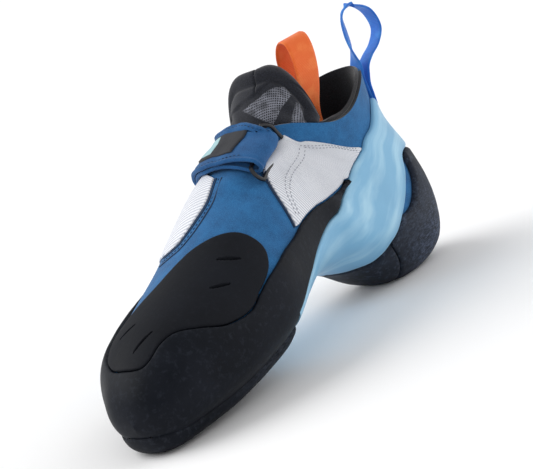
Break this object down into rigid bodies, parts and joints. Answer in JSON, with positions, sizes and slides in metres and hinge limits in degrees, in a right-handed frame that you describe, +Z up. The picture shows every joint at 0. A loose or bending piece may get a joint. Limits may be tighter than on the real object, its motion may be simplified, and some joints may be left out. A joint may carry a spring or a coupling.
{
  "type": "climbing shoe",
  "caption": "Right climbing shoe with a downturned sole, rubber toe and heel, tension band, one strap through a ring and two pull loops.",
  "frame": {"origin": "on the floor, below the centre of the shoe's bounding box", "axes": "+Z up, -Y towards the toe, +Y towards the heel, +X towards the inner side of the right foot"},
  "size_m": [0.084, 0.2413, 0.1292],
  "materials": {
    "blue_knit": "soft blue microfibre knit",
    "white_elastic": "ribbed white elastic",
    "black_rubber": "matte black climbing rubber",
    "pale_blue_rubber": "satin pale blue rubber",
    "black_knit": "padded black knit and mesh",
    "board": "lasting board",
    "orange_webbing": "flat woven webbing",
    "blue_webbing": "flat woven webbing",
    "black_plastic": "satin black",
    "badge": "smooth black badge, bare"
  },
  "bodies": {
    "root": {"upper": "blue_knit", "insole": "board", "midsole": "board", "outsole": "black_rubber", "rand": "black_rubber", "toe_patch": "black_rubber", "tension_band": "pale_blue_rubber", "heel_base": "black_rubber", "heel_cup": "black_rubber", "elastic_panel_inner": "white_elastic", "elastic_panel_outer": "white_elastic", "collar_cuff": "black_knit", "tongue": "black_knit", "strap": "blue_knit", "strap_ring": "black_plastic", "strap_badge": "badge", "tongue_loop": "orange_webbing", "heel_loop": "blue_webbing"}
  },
  "joints": []
}
